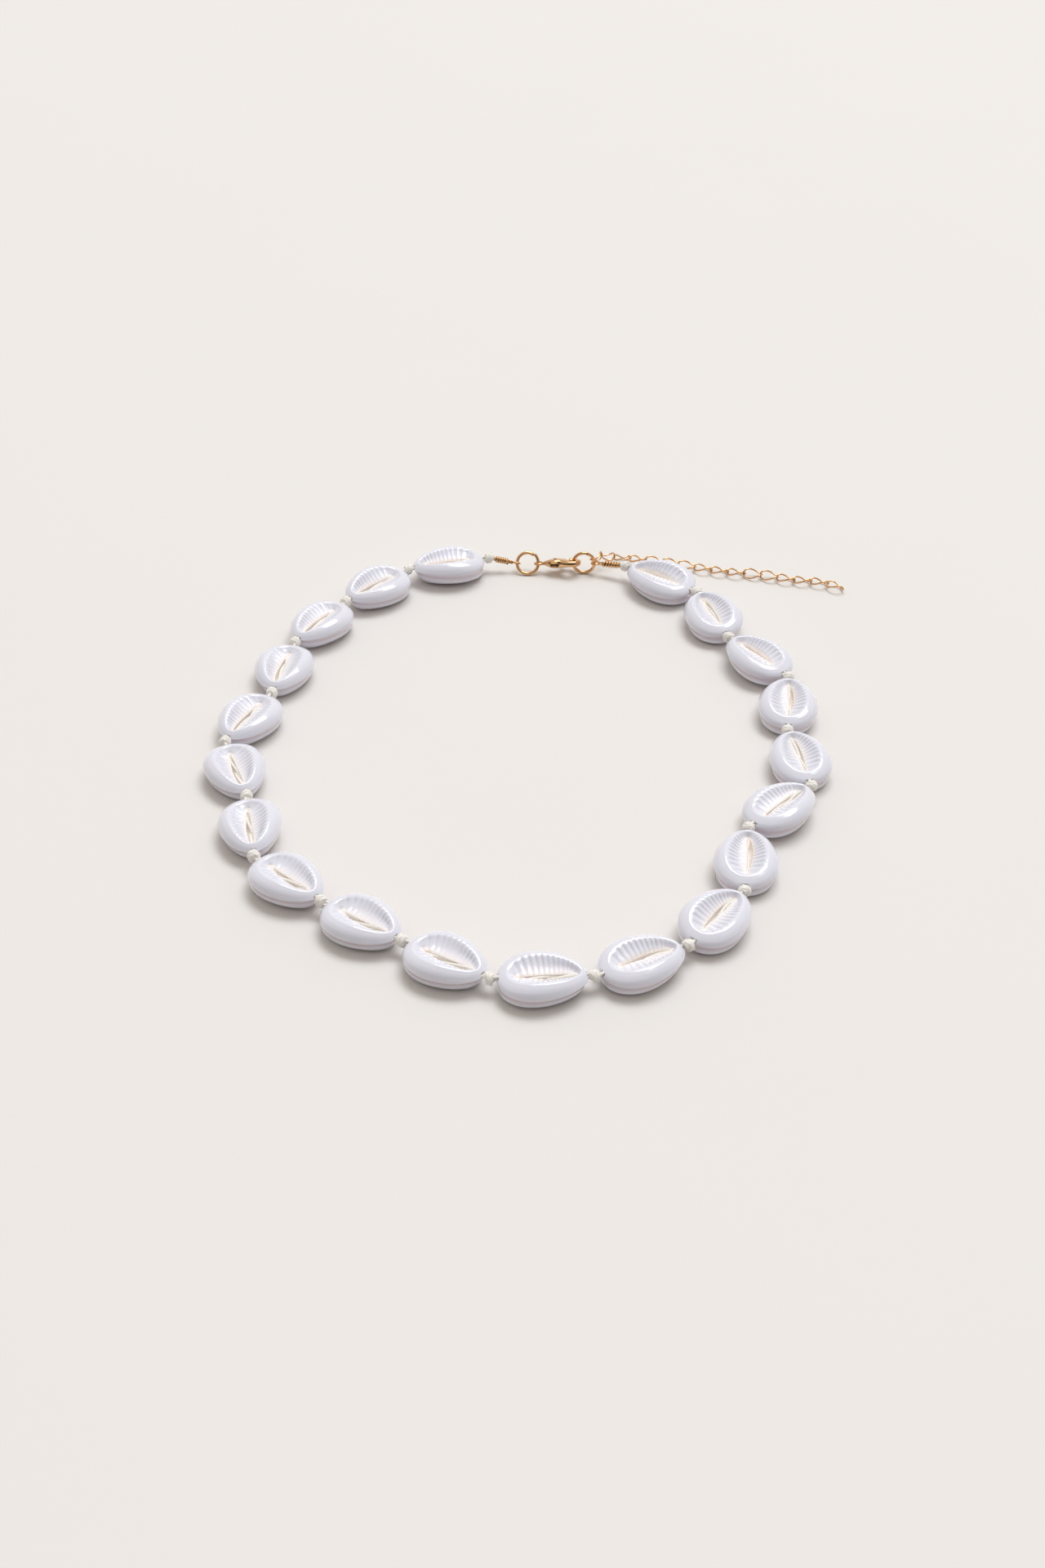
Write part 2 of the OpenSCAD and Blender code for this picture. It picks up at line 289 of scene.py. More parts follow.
def mixColors(nodes, links, factor, first, second):
    node = nodes.new("ShaderNodeMix")
    node.data_type = "RGBA"
    if isinstance(factor, float):
        node.inputs["Factor"].default_value = factor
    else:
        links.new(factor, node.inputs["Factor"])
    for value, socket in ((first, node.inputs[6]), (second, node.inputs[7])):
        if isinstance(value, bpy.types.NodeSocket):
            links.new(value, socket)
        else:
            socket.default_value = (*value, 1.0)
    return node.outputs[2]


def remap(nodes, links, socket, low, high):
    node = nodes.new("ShaderNodeMapRange")
    links.new(socket, node.inputs["Value"])
    setInputs(node, {"To Min": low, "To Max": high})
    return node.outputs["Result"]


def addBump(nodes, links, shader, height, strength, distance):
    bump = nodes.new("ShaderNodeBump")
    setInputs(bump, {"Strength": strength, "Distance": distance})
    links.new(height, bump.inputs["Height"])
    links.new(bump.outputs[0], shader.inputs["Normal"])


def readMask(nodes, label):
    node = nodes.new("ShaderNodeAttribute")
    node.attribute_name = label
    return node.outputs["Fac"]


pearl = {
    "light": (0.82, 0.82, 0.91),
    "cool": (0.76, 0.77, 0.885),
    # painted shade: the darker mauve given to the underside of the flank and to the flat back,
    # where shade falls
    "flankShadeColor": (0.60, 0.44, 0.48),
    # painted light: the warm tone inside the slit and the end pits stands in for light let through
    # and bounced inside the thin walls
    "pit": (0.93, 0.84, 0.74),
    "coolShare": 0.6,
    "flankShadeShare": 0.5,
    "cloud": (160.0, 900.0),
    "glow": 0.26,  # stands in for daylight that comes through the thin walls
    "roughness": (0.16, 0.26),
    "bump": (0.12, 0.0002),
    "shader": {
        "Subsurface Weight": 0.2, "Subsurface Radius": (1.0, 0.62, 0.55),
        "Subsurface Scale": 0.0008, "IOR": 1.5, "Coat Weight": 1.0, "Coat Roughness": 0.05,
    },
}


def buildPearl():
    material, nodes, links, shader = newMaterial("pearlGloss")
    cloud = addMottle(nodes, *pearl["cloud"])
    coolness = remap(nodes, links, cloud.outputs["Cloud"], 0.0, pearl["coolShare"])
    base = mixColors(nodes, links, coolness, pearl["light"], pearl["cool"])
    # painted shade: the flank mask darkens the band under the flank's widest part and the flat back
    # towards mauve
    flankShadeAmount = remap(nodes, links, readMask(nodes, "flankShade"), 0.0, pearl["flankShadeShare"])
    flankShaded = mixColors(nodes, links, flankShadeAmount, base, pearl["flankShadeColor"])
    # painted light: the hollow turns warm and glows, in place of light that comes through the thin
    # walls and bounces inside
    withHollowGlow = mixColors(nodes, links, readMask(nodes, "hollow"), flankShaded, pearl["pit"])
    links.new(withHollowGlow, shader.inputs["Base Color"])
    links.new(withHollowGlow, shader.inputs["Emission Color"])
    links.new(remap(nodes, links, readMask(nodes, "hollow"), 0.0, pearl["glow"]),
              shader.inputs["Emission Strength"])
    setInputs(shader, pearl["shader"])
    links.new(remap(nodes, links, cloud.outputs["Grain"], *pearl["roughness"]),
              shader.inputs["Roughness"])
    addBump(nodes, links, shader, cloud.outputs["Cloud"], *pearl["bump"])
    return material


cordFinish = {
    "light": (1.0, 0.975, 0.93),
    "shade": (0.86, 0.81, 0.74),
    "fibreCount": 2.5,
    "fibreLay": 900.0,
    "fibreGrain": (0.4, 1.2),
    "waxShare": (0.3, 0.8),
    "cloud": (700.0, 5200.0),
    "bump": (0.7, 0.00012),
    "shader": {"Roughness": 0.55, "Sheen Weight": 0.3},
}


def buildWaxedCord():
    material, nodes, links, shader = newMaterial("waxedCord")
    tree = material.node_tree
    around = Field(tree, readMask(nodes, "strandAround")) * cordFinish["fibreCount"]
    along = Field(tree, readMask(nodes, "strandAlong")) * cordFinish["fibreLay"]
    turns = (around + along) * (2 * math.pi)
    ridge = Field(tree, remap(nodes, links, turns.op("SINE").socket, 0.0, 1.0))
    cloud = addMottle(nodes, *cordFinish["cloud"])
    grain = remap(nodes, links, cloud.outputs["Grain"], *cordFinish["fibreGrain"])
    mask = (ridge * grain).socket
    color = mixColors(nodes, links, mask, cordFinish["shade"], cordFinish["light"])
    wax = remap(nodes, links, cloud.outputs["Cloud"], *cordFinish["waxShare"])
    links.new(mixColors(nodes, links, wax, color, cordFinish["light"]),
              shader.inputs["Base Color"])
    setInputs(shader, cordFinish["shader"])
    addBump(nodes, links, shader, mask, *cordFinish["bump"])
    return material


goldFinish = {
    "light": (0.84, 0.53, 0.28),
    "deep": (0.66, 0.36, 0.16),
    # painted shade: the dark colour that ambient occlusion lays into grooves, coils and gaps
    # between parts
    "creviceShade": (0.18, 0.08, 0.03),
    "creviceShadeReach": 0.0005,
    "deepShare": 0.8,
    "cloud": (300.0, 3000.0),
    "roughness": (0.10, 0.20),
    "bump": (0.15, 0.00005),
    "shader": {"Metallic": 1.0},
}


def buildGold():
    material, nodes, links, shader = newMaterial("paleGold")
    cloud = addMottle(nodes, *goldFinish["cloud"])
    deepness = remap(nodes, links, cloud.outputs["Cloud"], 0.0, goldFinish["deepShare"])
    color = mixColors(nodes, links, deepness, goldFinish["light"], goldFinish["deep"])
    # painted shade: the colour darkens in crevices and coil grooves where shade falls
    creviceShade = nodes.new("ShaderNodeAmbientOcclusion")
    creviceShade.samples = 8
    creviceShade.only_local = True
    creviceShade.inputs["Distance"].default_value = goldFinish["creviceShadeReach"]
    creviceShaded = mixColors(nodes, links, creviceShade.outputs["AO"], goldFinish["creviceShade"], color)
    links.new(creviceShaded, shader.inputs["Base Color"])
    setInputs(shader, goldFinish["shader"])
    links.new(remap(nodes, links, cloud.outputs["Grain"], *goldFinish["roughness"]),
              shader.inputs["Roughness"])
    addBump(nodes, links, shader, cloud.outputs["Grain"], *goldFinish["bump"])
    return material


pearlGloss = buildPearl()
waxedCord = buildWaxedCord()
paleGold = buildGold()
print("materials built")


# Where the shells and knots lie, as in the part's source
slitBows = (-0.3, -0.3, -0.3, -0.3, -0.3, -0.3, -0.3, -0.5, -0.8, -0.6,
            -0.4, 0.6, 0.4, -0.8, -0.1, -0.3, -0.8, -0.8, -0.3, -0.8)
string = {
    "pitch": 21.0,
    "firstKnot": (-13.3, 78.5),
    "boreHeight": 3.7,
    "backHalfWidth": 3.2665,
    "headings": (195, 225, 238, 260, 245, 289, 280, 317, 325, 328,
                 2, 25, 53, 83, 44, 99, 84, 128, 108, 145),
    "rolls": (4, -3, 3, 0, 0, 0, 3, -2, 0, 0, 0, 0, 4, 0, -4, 0, 0, 3, -4, -3),
}
shellCount = len(string["headings"])
findings = {  # distances along the line from the first knot, heights and leans
    "heading": -2.5,
    "leftEye": 7.05,
    "leftRing": 9.93,
    "claspEye": 12.835,
    "ringInHook": 8.705,
    "rightRing": 24.24,
    "rightEye": 27.12,
    "leftHeight": 2.6,
    "rightHeight": 3.1,
    "leftLean": 38.0,
    "rightLean": 5.0,
    "knotHalf": 1.395,  # from a knot's centre to the mouth of the crimp beside it
}


def flatWay(heading):
    return Vector((math.cos(math.radians(heading)), math.sin(math.radians(heading)), 0.0))


knotPlan = [Vector((*string["firstKnot"], 0.0))]
for heading in string["headings"]:
    knotPlan.append(knotPlan[-1] + flatWay(heading) * string["pitch"])

boreHeights = [
    string["boreHeight"] * math.cos(math.radians(roll))
    + string["backHalfWidth"] * abs(math.sin(math.radians(roll)))
    for roll in string["rolls"]
]
knotHeights = [boreHeights[0]] + [
    (a + b) / 2 for a, b in zip(boreHeights, boreHeights[1:])
] + [boreHeights[-1]]
knots = [Vector((p.x, p.y, h)) for p, h in zip(knotPlan, knotHeights)]


def knotHeading(i):
    way = flatWay(string["headings"][max(i - 1, 0)]) + flatWay(
        string["headings"][min(i, shellCount - 1)])
    return math.atan2(way.y, way.x)


# Shells: one rule for the skin, from the middle of the flat back out over the side,
# up to the lip's crest, down the toothed wall to the slit and into the hollow under it
shell = {
    "Length": 18.6,
    "Width": 13.9,
    "Height": 6.2,
    "Bore Height": string["boreHeight"],
    "Bore Diameter": 2.0,
    "Tooth Count": 12.4,
    "Tooth Crowding": 0.17,
    "Tooth Depth": 0.34,
    "Tooth Rounding": 0.75,  # below 1 the teeth are broad and the valleys narrow
    "Valley Drop": 0.85,
    "Valley Spread": 0.5,
    "Pit Depth": 0.3,
    "Mouth Depth": 0.8,
    "End Lift": 0.40,
    "Around Points": 208,
    "Profile Points": 84,
}
# painted shade on the flat back, where the shell sits in its own shadow
backShadeShare = 0.7  # how strongly the flat back is tinted, next to the flank
troughHalf = 0.70  # half the trough's length, as a share of half the shell's
bands = {  # where a feature starts and where it is full, along the profile or along the shell
    "teethStart": (-0.98, -0.80),
    "teethEnd": (0.70, 0.92),
    "pit": (0.40, 0.90),
    "pitHollow": (0.0, 0.4),
    "bowHollow": (0.05, 0.90),
    "bowEnd": (0.945, 0.965),
    "liftStart": (0.15, 0.34),
    "liftEnd": (0.40, 0.56),
    "mouth": (0.40, 0.78),
    "mouthEnd": (0.56, 0.60),
    # the flank and back bands say where the painted shade lies
    "flankStart": (0.31, 0.37),
    "flankEnd": (0.41, 0.52),
    "back": (0.15, 0.27),
}

skinColumns = ("at", "length", "width", "height", "drop", "taper", "shift", "spread", "tooth",
               "hollow")
skinRows = (
    (0.000, 0.000, 0.000, 0.000, 0.00, 0.06, -0.35, 0.15, 0.0, 0.0),
    (0.060, 0.540, 0.420, 0.000, 0.00, 0.06, -0.35, 0.15, 0.0, 0.0),
    (0.090, 0.620, 0.490, 0.006, 0.00, 0.07, -0.36, 0.15, 0.0, 0.0),
    (0.150, 0.780, 0.660, 0.055, 0.00, 0.13, -0.42, 0.15, 0.0, 0.0),
    (0.200, 0.872, 0.785, 0.125, 0.00, 0.16, -0.40, 0.15, 0.0, 0.0),
    (0.250, 0.918, 0.875, 0.210, 0.00, 0.17, -0.32, 0.15, 0.0, 0.0),
    (0.290, 0.942, 0.905, 0.285, 0.00, 0.165, -0.22, 0.15, 0.0, 0.0),
    (0.330, 0.946, 0.910, 0.350, 0.00, 0.155, -0.12, 0.15, 0.0, 0.0),
    (0.365, 0.950, 0.914, 0.415, 0.00, 0.15, -0.04, 0.15, 0.0, 0.0),
    (0.400, 0.963, 0.938, 0.480, 0.01, 0.14, 0.00, 0.15, 0.0, 0.0),
    (0.440, 0.980, 0.975, 0.552, 0.025, 0.14, 0.00, 0.15, 0.0, 0.0),
    (0.480, 0.991, 0.989, 0.625, 0.045, 0.145, 0.03, 0.16, 0.0, 0.0),
    (0.540, 0.962, 0.942, 0.750, 0.085, 0.155, 0.08, 0.20, 0.0, 0.0),
    (0.600, 0.910, 0.855, 0.870, 0.125, 0.165, 0.20, 0.30, 0.0, 0.0),
    (0.645, 0.858, 0.745, 0.950, 0.15, 0.175, 0.30, 0.44, 0.0, 0.0),
    (0.690, 0.812, 0.630, 0.994, 0.16, 0.18, 0.40, 0.56, 0.10, 0.0),
    (0.725, 0.778, 0.545, 0.982, 0.155, 0.21, 0.47, 0.60, 0.45, 0.0),
    (0.755, 0.752, 0.475, 0.940, 0.145, 0.22, 0.53, 0.60, 0.90, 0.0),
    (0.800, 0.728, 0.390, 0.872, 0.115, 0.16, 0.60, 0.60, 1.00, 0.03),
    (0.850, 0.705, 0.295, 0.800, 0.07, 0.02, 0.65, 0.60, 0.90, 0.14),
    (0.895, 0.682, 0.190, 0.735, 0.03, -0.18, 0.68, 0.60, 0.60, 0.42),
    (0.930, 0.665, 0.100, 0.675, 0.00, -0.42, 0.70, 0.60, 0.42, 0.85),
    (0.945, 0.660, 0.080, 0.635, 0.00, -0.48, 0.70, 0.60, 0.25, 1.00),
    (0.960, 0.665, 0.150, 0.560, 0.00, -0.42, 0.70, 0.60, 0.05, 1.00),
    (0.980, 0.690, 0.250, 0.420, 0.00, -0.20, 0.70, 0.60, 0.00, 1.00),
    (1.000, 0.000, 0.000, 0.340, 0.00, 0.00, 0.70, 0.60, 0.00, 1.00),
)


def columnField(tree, factor, label):
    node = tree.nodes.new("ShaderNodeFloatCurve")
    node.label = label
    feed(tree, factor, node.inputs["Value"])
    node.mapping.use_clip = False
    points = node.mapping.curves[0].points
    column = skinColumns.index(label)
    points[0].location = (skinRows[0][0], skinRows[0][column])
    points[1].location = (skinRows[-1][0], skinRows[-1][column])
    for row in skinRows[1:-1]:
        points.new(row[0], row[column])
    for point in points:
        point.handle_type = "AUTO_CLAMPED"
    node.mapping.update()
    return Field(tree, node.outputs[0])


def buildShellTree():
    tree, start, end, size = newTree("cowrieShell", {**shell, "Slit Bow": 0.0},
                                     Place="Vector", Turn="Vector")
    grid = addNode(tree, "MeshGrid", {
        "Size X": 1.0, "Size Y": 1.0,
        "Vertices X": start.outputs["Around Points"],
        "Vertices Y": start.outputs["Profile Points"],
    })
    flat = split(tree, addNode(tree, "InputPosition").outputs[0])
    around = flat[0] + 0.5
    profile = flat[1] + 0.5
    row = {label: columnField(tree, profile, label) for label in skinColumns[1:]}

    # 1 at the narrow end, -1 at the blunt end, and back
    half = (around - 0.5).op("ABSOLUTE") * 2.0
    cosine = (around * (2 * math.pi)).op("COSINE")
    lengthwise = (1.0 - row["spread"]) * cosine + row["spread"] * (half * 2.0 - 1.0)
    side = (1.0 - lengthwise * lengthwise).op("MAXIMUM", 0.0).op("SQRT") * (0.5 - around).op("SIGN")

    # rounded teeth with narrow valleys, fading into a smooth pit at both ends of the trough
    count = lengthwise * size["Tooth Count"] * (1.0 + size["Tooth Crowding"] * lengthwise)
    comb = (count * (math.pi / 2)).op("COSINE").op("ABSOLUTE")
    reach = lengthwise.step(*bands["teethStart"]) * (1.0 - lengthwise.step(*bands["teethEnd"]))
    comb = comb.op("POWER", size["Tooth Rounding"])
    valley = (1.0 - comb) * row["tooth"] * reach * size["Tooth Depth"]
    inTrough = lengthwise * row["length"] * (1 / troughHalf)
    ends = (inTrough * inTrough).step(*bands["pit"])
    pit = ends * row["hollow"].step(*bands["pitHollow"])

    bow = size["Slit Bow"] * (1.0 - inTrough * inTrough) \
        * row["hollow"].step(*bands["bowHollow"]) * (1.0 - profile.step(*bands["bowEnd"]))
    x = row["length"] * size["Length"] * 0.5 * lengthwise + row["shift"]
    y = (row["width"] * size["Width"] * 0.5 * (1.0 - row["taper"] * lengthwise)
         + valley * size["Valley Spread"]) * side + bow
    rise = profile.step(*bands["liftStart"]) * (1.0 - profile.step(*bands["liftEnd"])) \
        * lengthwise * size["End Lift"]
    z = ((row["height"] - row["drop"] * lengthwise * lengthwise) * size["Height"]
         - size["Bore Height"] - valley * size["Valley Drop"] - pit * size["Pit Depth"] + rise)

    # the mouths of the bore, sunk into both ends
    fromBore = (y * y + z * z).op("SQRT") / (size["Bore Diameter"] * 0.5)
    mouth = (1.0 - fromBore.step(*bands["mouth"])) * (1.0 - profile.step(*bands["mouthEnd"]))
    x = x - mouth * lengthwise.op("SIGN") * size["Mouth Depth"]

    # the masks come first, while the points still lie on the flat grid
    # the hollow mask marks where the painted warm glow goes
    masked = storeField(tree, grid.outputs["Mesh"], "hollow",
                        row["hollow"] * (0.7 + 0.3 * ends))
    # the flank mask marks where painted shade goes: the band under the widest part and the flat
    # back
    flankShade = profile.step(*bands["flankStart"]) * (1.0 - profile.step(*bands["flankEnd"])) \
        + (1.0 - profile.step(*bands["back"])) * backShadeShare
    formed = addNode(tree, "SetPosition", {
        "Geometry": storeField(tree, masked, "flankShade", flankShade),
        "Position": vector(tree, x * mm, y * mm, z * mm),
    })
    closed = addNode(tree, "MergeByDistance", {
        "Geometry": formed.outputs[0], "Distance": 0.000002})
    endTree(tree, start, end, closed.outputs[0])
    return tree


shellTree = buildShellTree()
for i in range(shellCount):
    middle = (knots[i] + knots[i + 1]) / 2
    middle.z = boreHeights[i]
    label = f"{i + 1:02d}"
    piece = makePiece("cowrie" + label, shellTree, {
        **shell,
        "Slit Bow": slitBows[i],
        "Place": middle * mm,
        "Turn": (math.radians(string["rolls"][i]), 0.0, math.radians(string["headings"][i])),
        "Material": pearlGloss,
    })
    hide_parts("shell_" + label)
print("shells made:", shellCount)


# Waxed cord: two strands twisted together through every bore
cord = {
    "Strand Radius": 0.36,
    "Strand Offset": 0.34,
    "Twist Length": 15.0,
    "Step": 0.3,
    "Sides": 10,
}
cordLie = (  # along the shell, across it and above the bore's middle
    (-9.0, 0.0, 0.0), (-6.5, -0.10, -0.16), (-4.0, -0.22, -0.52), (-1.0, -0.12, -0.50),
    (2.0, 0.05, -0.38), (4.5, 0.16, -0.22), (6.5, 0.10, -0.08), (9.0, 0.0, 0.0),
)
cordEnd = 1.35  # how far the cord goes on past the first and the last knot


def meshOfPoints(name, points, joinedUp=True):
    mesh = bpy.data.meshes.new(name)
    edges = [(k, k + 1) for k in range(len(points) - 1)] if joinedUp else []
    mesh.from_pydata([Vector(p) * mm for p in points], edges, [])
    return mesh


def cordRoute():
    route = [knots[0] - flatWay(findings["heading"] + 180) * cordEnd, knots[0]]
    for i, heading in enumerate(string["headings"]):
        turn = Euler((math.radians(string["rolls"][i]), 0.0, math.radians(heading)))
        centre = (knots[i] + knots[i + 1]) / 2
        centre.z = boreHeights[i]
        for lie in cordLie:
            offset = Vector(lie)
            offset.rotate(turn)
            route.append(centre + offset)
        route.append(knots[i + 1].copy())
    route.append(knots[-1] + flatWay(findings["heading"] + 180) * cordEnd)
    return route


def buildCordTree():
    tree, start, end, size = newTree("twistedCord", cord)
    route = addNode(tree, "MeshToCurve", {"Mesh": start.outputs["Geometry"]})
    fine = addNode(tree, "ResampleCurve", {
        "Curve": route.outputs[0], "Length": size["Step"] * mm,
    }, mode="LENGTH")
    length = Field(tree, addNode(tree, "SplineParameter").outputs["Length"])
    tangent = addNode(tree, "InputTangent").outputs[0]
    side = vectorMath(tree, "NORMALIZE", vectorMath(
        tree, "CROSS_PRODUCT", tangent, (0.0, 0.0, 1.0)))
    rise = vectorMath(tree, "CROSS_PRODUCT", side, tangent)
    strands = []
    for phase in (0.0, math.pi):
        angle = length / (size["Twist Length"] * mm) * (2 * math.pi) + phase
        reach = size["Strand Offset"] * mm
        offset = vectorMath(tree, "ADD", scaled(tree, side, angle.op("COSINE") * reach),
                            scaled(tree, rise, angle.op("SINE") * reach))
        strand = addNode(tree, "SetPosition", {"Geometry": fine.outputs[0], "Offset": offset})
        strands.append(tubeAlong(tree, strand.outputs[0], size["Strand Radius"] * mm,
                                 start.outputs["Sides"], length))
    endTree(tree, start, end, joined(tree, *strands))
    return tree


cordPiece = makePiece(
    "cordStrands", buildCordTree(), {**cord, "Material": waxedCord},
    source=meshOfPoints("cordRoute", cordRoute()))
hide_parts("thread")
print("cord made")


# Knots: a slanting coil drawn tight round a core, with the cord's end crossing over it
knot = {
    "Turns": 2.6,
    "Coil Radius": 0.96,
    "Coil Length": 1.42,
    "Strand Radius": 0.46,
    "Barrel": 0.28,
    "Slant": 0.20,
    "Core Radius": 0.95,
    "Sides": 12,
}
crossingStrand = {"radius": 1.06, "rise": 0.52, "wire": 0.92, "sweep": 150.0}  # of the coil's sizes
knotSeed = 11
knotSpread = {"roll": 40.0, "heading": 6.0}  # how far a knot may lie off the usual way


def buildKnotTree():
    tree, start, end, size = newTree("tightKnot", knot)
    coil = addNode(tree, "CurveSpiral", {
        "Resolution": 30, "Rotations": size["Turns"], "Start Radius": size["Coil Radius"] * mm,
        "End Radius": size["Coil Radius"] * mm, "Height": size["Coil Length"] * mm,
    })
    place = split(tree, addNode(tree, "InputPosition").outputs[0])
    share = place[2] / (size["Coil Length"] * mm) * 2.0 - 1.0  # -1 and 1 at the coil's ends
    narrow = 1.0 - size["Barrel"] * share * share
    lean = place[1] * size["Slant"]
    wound = addNode(tree, "SetPosition", {
        "Geometry": coil.outputs[0],
        "Position": vector(tree, place[0] * narrow, place[1] * narrow,
                           place[2] - size["Coil Length"] * (0.5 * mm) + lean),
    })
    length = Field(tree, addNode(tree, "SplineParameter").outputs["Length"])
    wraps = tubeAlong(tree, wound.outputs[0], size["Strand Radius"] * mm,
                      start.outputs["Sides"], length)

    # the crossing strand, a slanting arc over the wraps
    arc = addNode(tree, "CurveArc", {
        "Resolution": 18, "Radius": size["Coil Radius"] * (crossingStrand["radius"] * mm),
        "Start Angle": math.radians(crossingStrand["sweep"] / -2),
        "Sweep Angle": math.radians(crossingStrand["sweep"]),
    })
    way = Field(tree, addNode(tree, "SplineParameter").outputs["Factor"]) * 2.0 - 1.0
    arched = addNode(tree, "SetPosition", {
        "Geometry": arc.outputs[0],
        "Offset": vector(
            tree, 0.0, 0.0, way * size["Coil Length"] * (crossingStrand["rise"] * mm)),
    })
    crossing = tubeAlong(
        tree, arched.outputs[0], size["Strand Radius"] * (crossingStrand["wire"] * mm),
        start.outputs["Sides"], length)
    core = addNode(tree, "MeshUVSphere", {
        "Segments": 16, "Rings": 10, "Radius": size["Core Radius"] * mm,
    })
    upright = joined(tree, wraps, crossing, core.outputs["Mesh"])
    lying = addNode(tree, "Transform", {
        "Geometry": upright, "Rotation": (0.0, math.pi / 2, 0.0),
    })
    points = addNode(tree, "MeshToPoints", {"Mesh": start.outputs["Geometry"]})
    placed = addNode(tree, "InstanceOnPoints", {
        "Points": points.outputs[0], "Instance": lying.outputs[0],
        "Rotation": readField(tree, "turn", "FLOAT_VECTOR"),
    })
    endTree(tree, start, end, placed.outputs[0])
    return tree


knotPlaces = meshOfPoints("knotPlaces", knots, joinedUp=False)
knotTurns = knotPlaces.attributes.new("turn", "FLOAT_VECTOR", "POINT")
draw = random.Random(knotSeed)
for i in range(shellCount + 1):
    roll = draw.uniform(-knotSpread["roll"], knotSpread["roll"]) - 90.0
    askew = draw.uniform(-knotSpread["heading"], knotSpread["heading"])
    knotTurns.data[i].vector = (math.radians(roll), 0.0, knotHeading(i) + math.radians(askew))
knotPiece = makePiece(
    "cordKnots", buildKnotTree(), {**knot, "Material": waxedCord}, source=knotPlaces)
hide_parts("thread")
print("knots made:", len(knots))


# Findings: crimps, jump rings, links and the clasp
def onLine(distance, height):  # a point of the line that the findings lie on
    place = knotPlan[0] + flatWay(findings["heading"]) * distance
    return Vector((place.x, place.y, height))


def anglesTo(start, toward, roll):  # turns +X to look from one point to another, then rolls
    way = toward - start
    return Euler((0.0, -math.asin(way.z / way.length), math.atan2(way.y, way.x))).to_matrix() \
        @ Matrix.Rotation(math.radians(roll), 3, "X")


crimp = {
    "Eye Radius": 0.925,
    "Eye Wire": 0.225,
    "Strip Width": 0.9,
    "Strip Thickness": 0.35,
    "Strip Overlap": 0.5,  # how far the strip reaches into the tube
    "Neck": 2.0,
    "Tube Radius": 0.52,
    "Coil Wire": 0.26,
    "Coil Radius": 0.59,
    "Turns": 5.8,
}


def buildCrimpTree():
    tree, start, end, size = newTree("coiledCrimp", {**crimp, "Body Length": 0.0},
                                     Place="Vector", Turn="Vector")
    eyeLine = addNode(tree, "CurvePrimitiveCircle", {
        "Resolution": 36, "Radius": size["Eye Radius"] * mm})
    eye = tubeAlong(tree, eyeLine.outputs["Curve"], size["Eye Wire"] * mm, 12, 0.0)

    # the flat strip between the eye and the coil
    stripLine = addNode(tree, "CurvePrimitiveLine", {
        "Start": vector(tree, size["Eye Radius"] * mm, 0.0, 0.0),
        "End": vector(tree, (size["Neck"] + size["Strip Overlap"]) * mm, 0.0, 0.0),
    })
    stripShape = addNode(tree, "CurvePrimitiveQuadrilateral", {
        "Width": size["Strip Thickness"] * mm, "Height": size["Strip Width"] * mm})
    softShape = addNode(tree, "FilletCurve", {
        "Curve": stripShape.outputs[0], "Count": 3, "Radius": size["Strip Thickness"] * (0.3 * mm),
    }, mode="POLY")
    strip = addNode(tree, "CurveToMesh", {
        "Curve": stripLine.outputs[0], "Profile Curve": softShape.outputs[0], "Fill Caps": True})

    # the tube with the coil round it
    tube = addNode(tree, "MeshCylinder", {
        "Vertices": 24, "Radius": size["Tube Radius"] * mm, "Depth": size["Body Length"] * mm})
    lying = (0.0, math.pi / 2, 0.0)
    tubeMiddle = (size["Neck"] + size["Body Length"] * 0.5) * mm
    tubeLying = moved(tree, tube.outputs["Mesh"], vector(tree, tubeMiddle, 0.0, 0.0), lying)
    coilLength = size["Body Length"] - size["Coil Wire"] * 2.0
    coilLine = addNode(tree, "CurveSpiral", {
        "Resolution": 28, "Rotations": size["Turns"], "Start Radius": size["Coil Radius"] * mm,
        "End Radius": size["Coil Radius"] * mm, "Height": coilLength * mm,
    })
    coil = tubeAlong(tree, coilLine.outputs[0], size["Coil Wire"] * mm, 10, 0.0)
    coilStart = (size["Neck"] + size["Coil Wire"]) * mm
    coilLying = moved(tree, coil, vector(tree, coilStart, 0.0, 0.0), lying)
    endTree(tree, start, end, joined(tree, eye, strip.outputs[0], tubeLying, coilLying))
    return tree


crimpTree = buildCrimpTree()
leftEye = onLine(findings["leftEye"], findings["leftHeight"])
rightEye = onLine(findings["rightEye"], findings["rightHeight"])
for name, node, eye, knotPlace, lean in (
        ("coilCrimpLeft", "crimp_left", leftEye, knots[0], findings["leftLean"]),
        ("coilCrimpRight", "crimp_right", rightEye, knots[-1], -findings["rightLean"])):
    bodyLength = (knotPlace - eye).length - crimp["Neck"] - findings["knotHalf"]
    piece = makePiece(name, crimpTree, {
        **crimp, "Body Length": bodyLength, "Place": eye * mm,
        "Turn": anglesTo(eye, knotPlace, lean).to_euler(), "Material": paleGold,
    })
    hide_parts(node)
print("crimps made")


ring = {
    "Radius": 2.7,
    "Wire": 0.4,
    "Gap Angle": 3.0,
    "Spring": 0.30,  # how far the two cut ends have sprung apart sideways
    "Spring Outward": 0.4,  # and outward, as a share of that
    "Sides": 16,
}


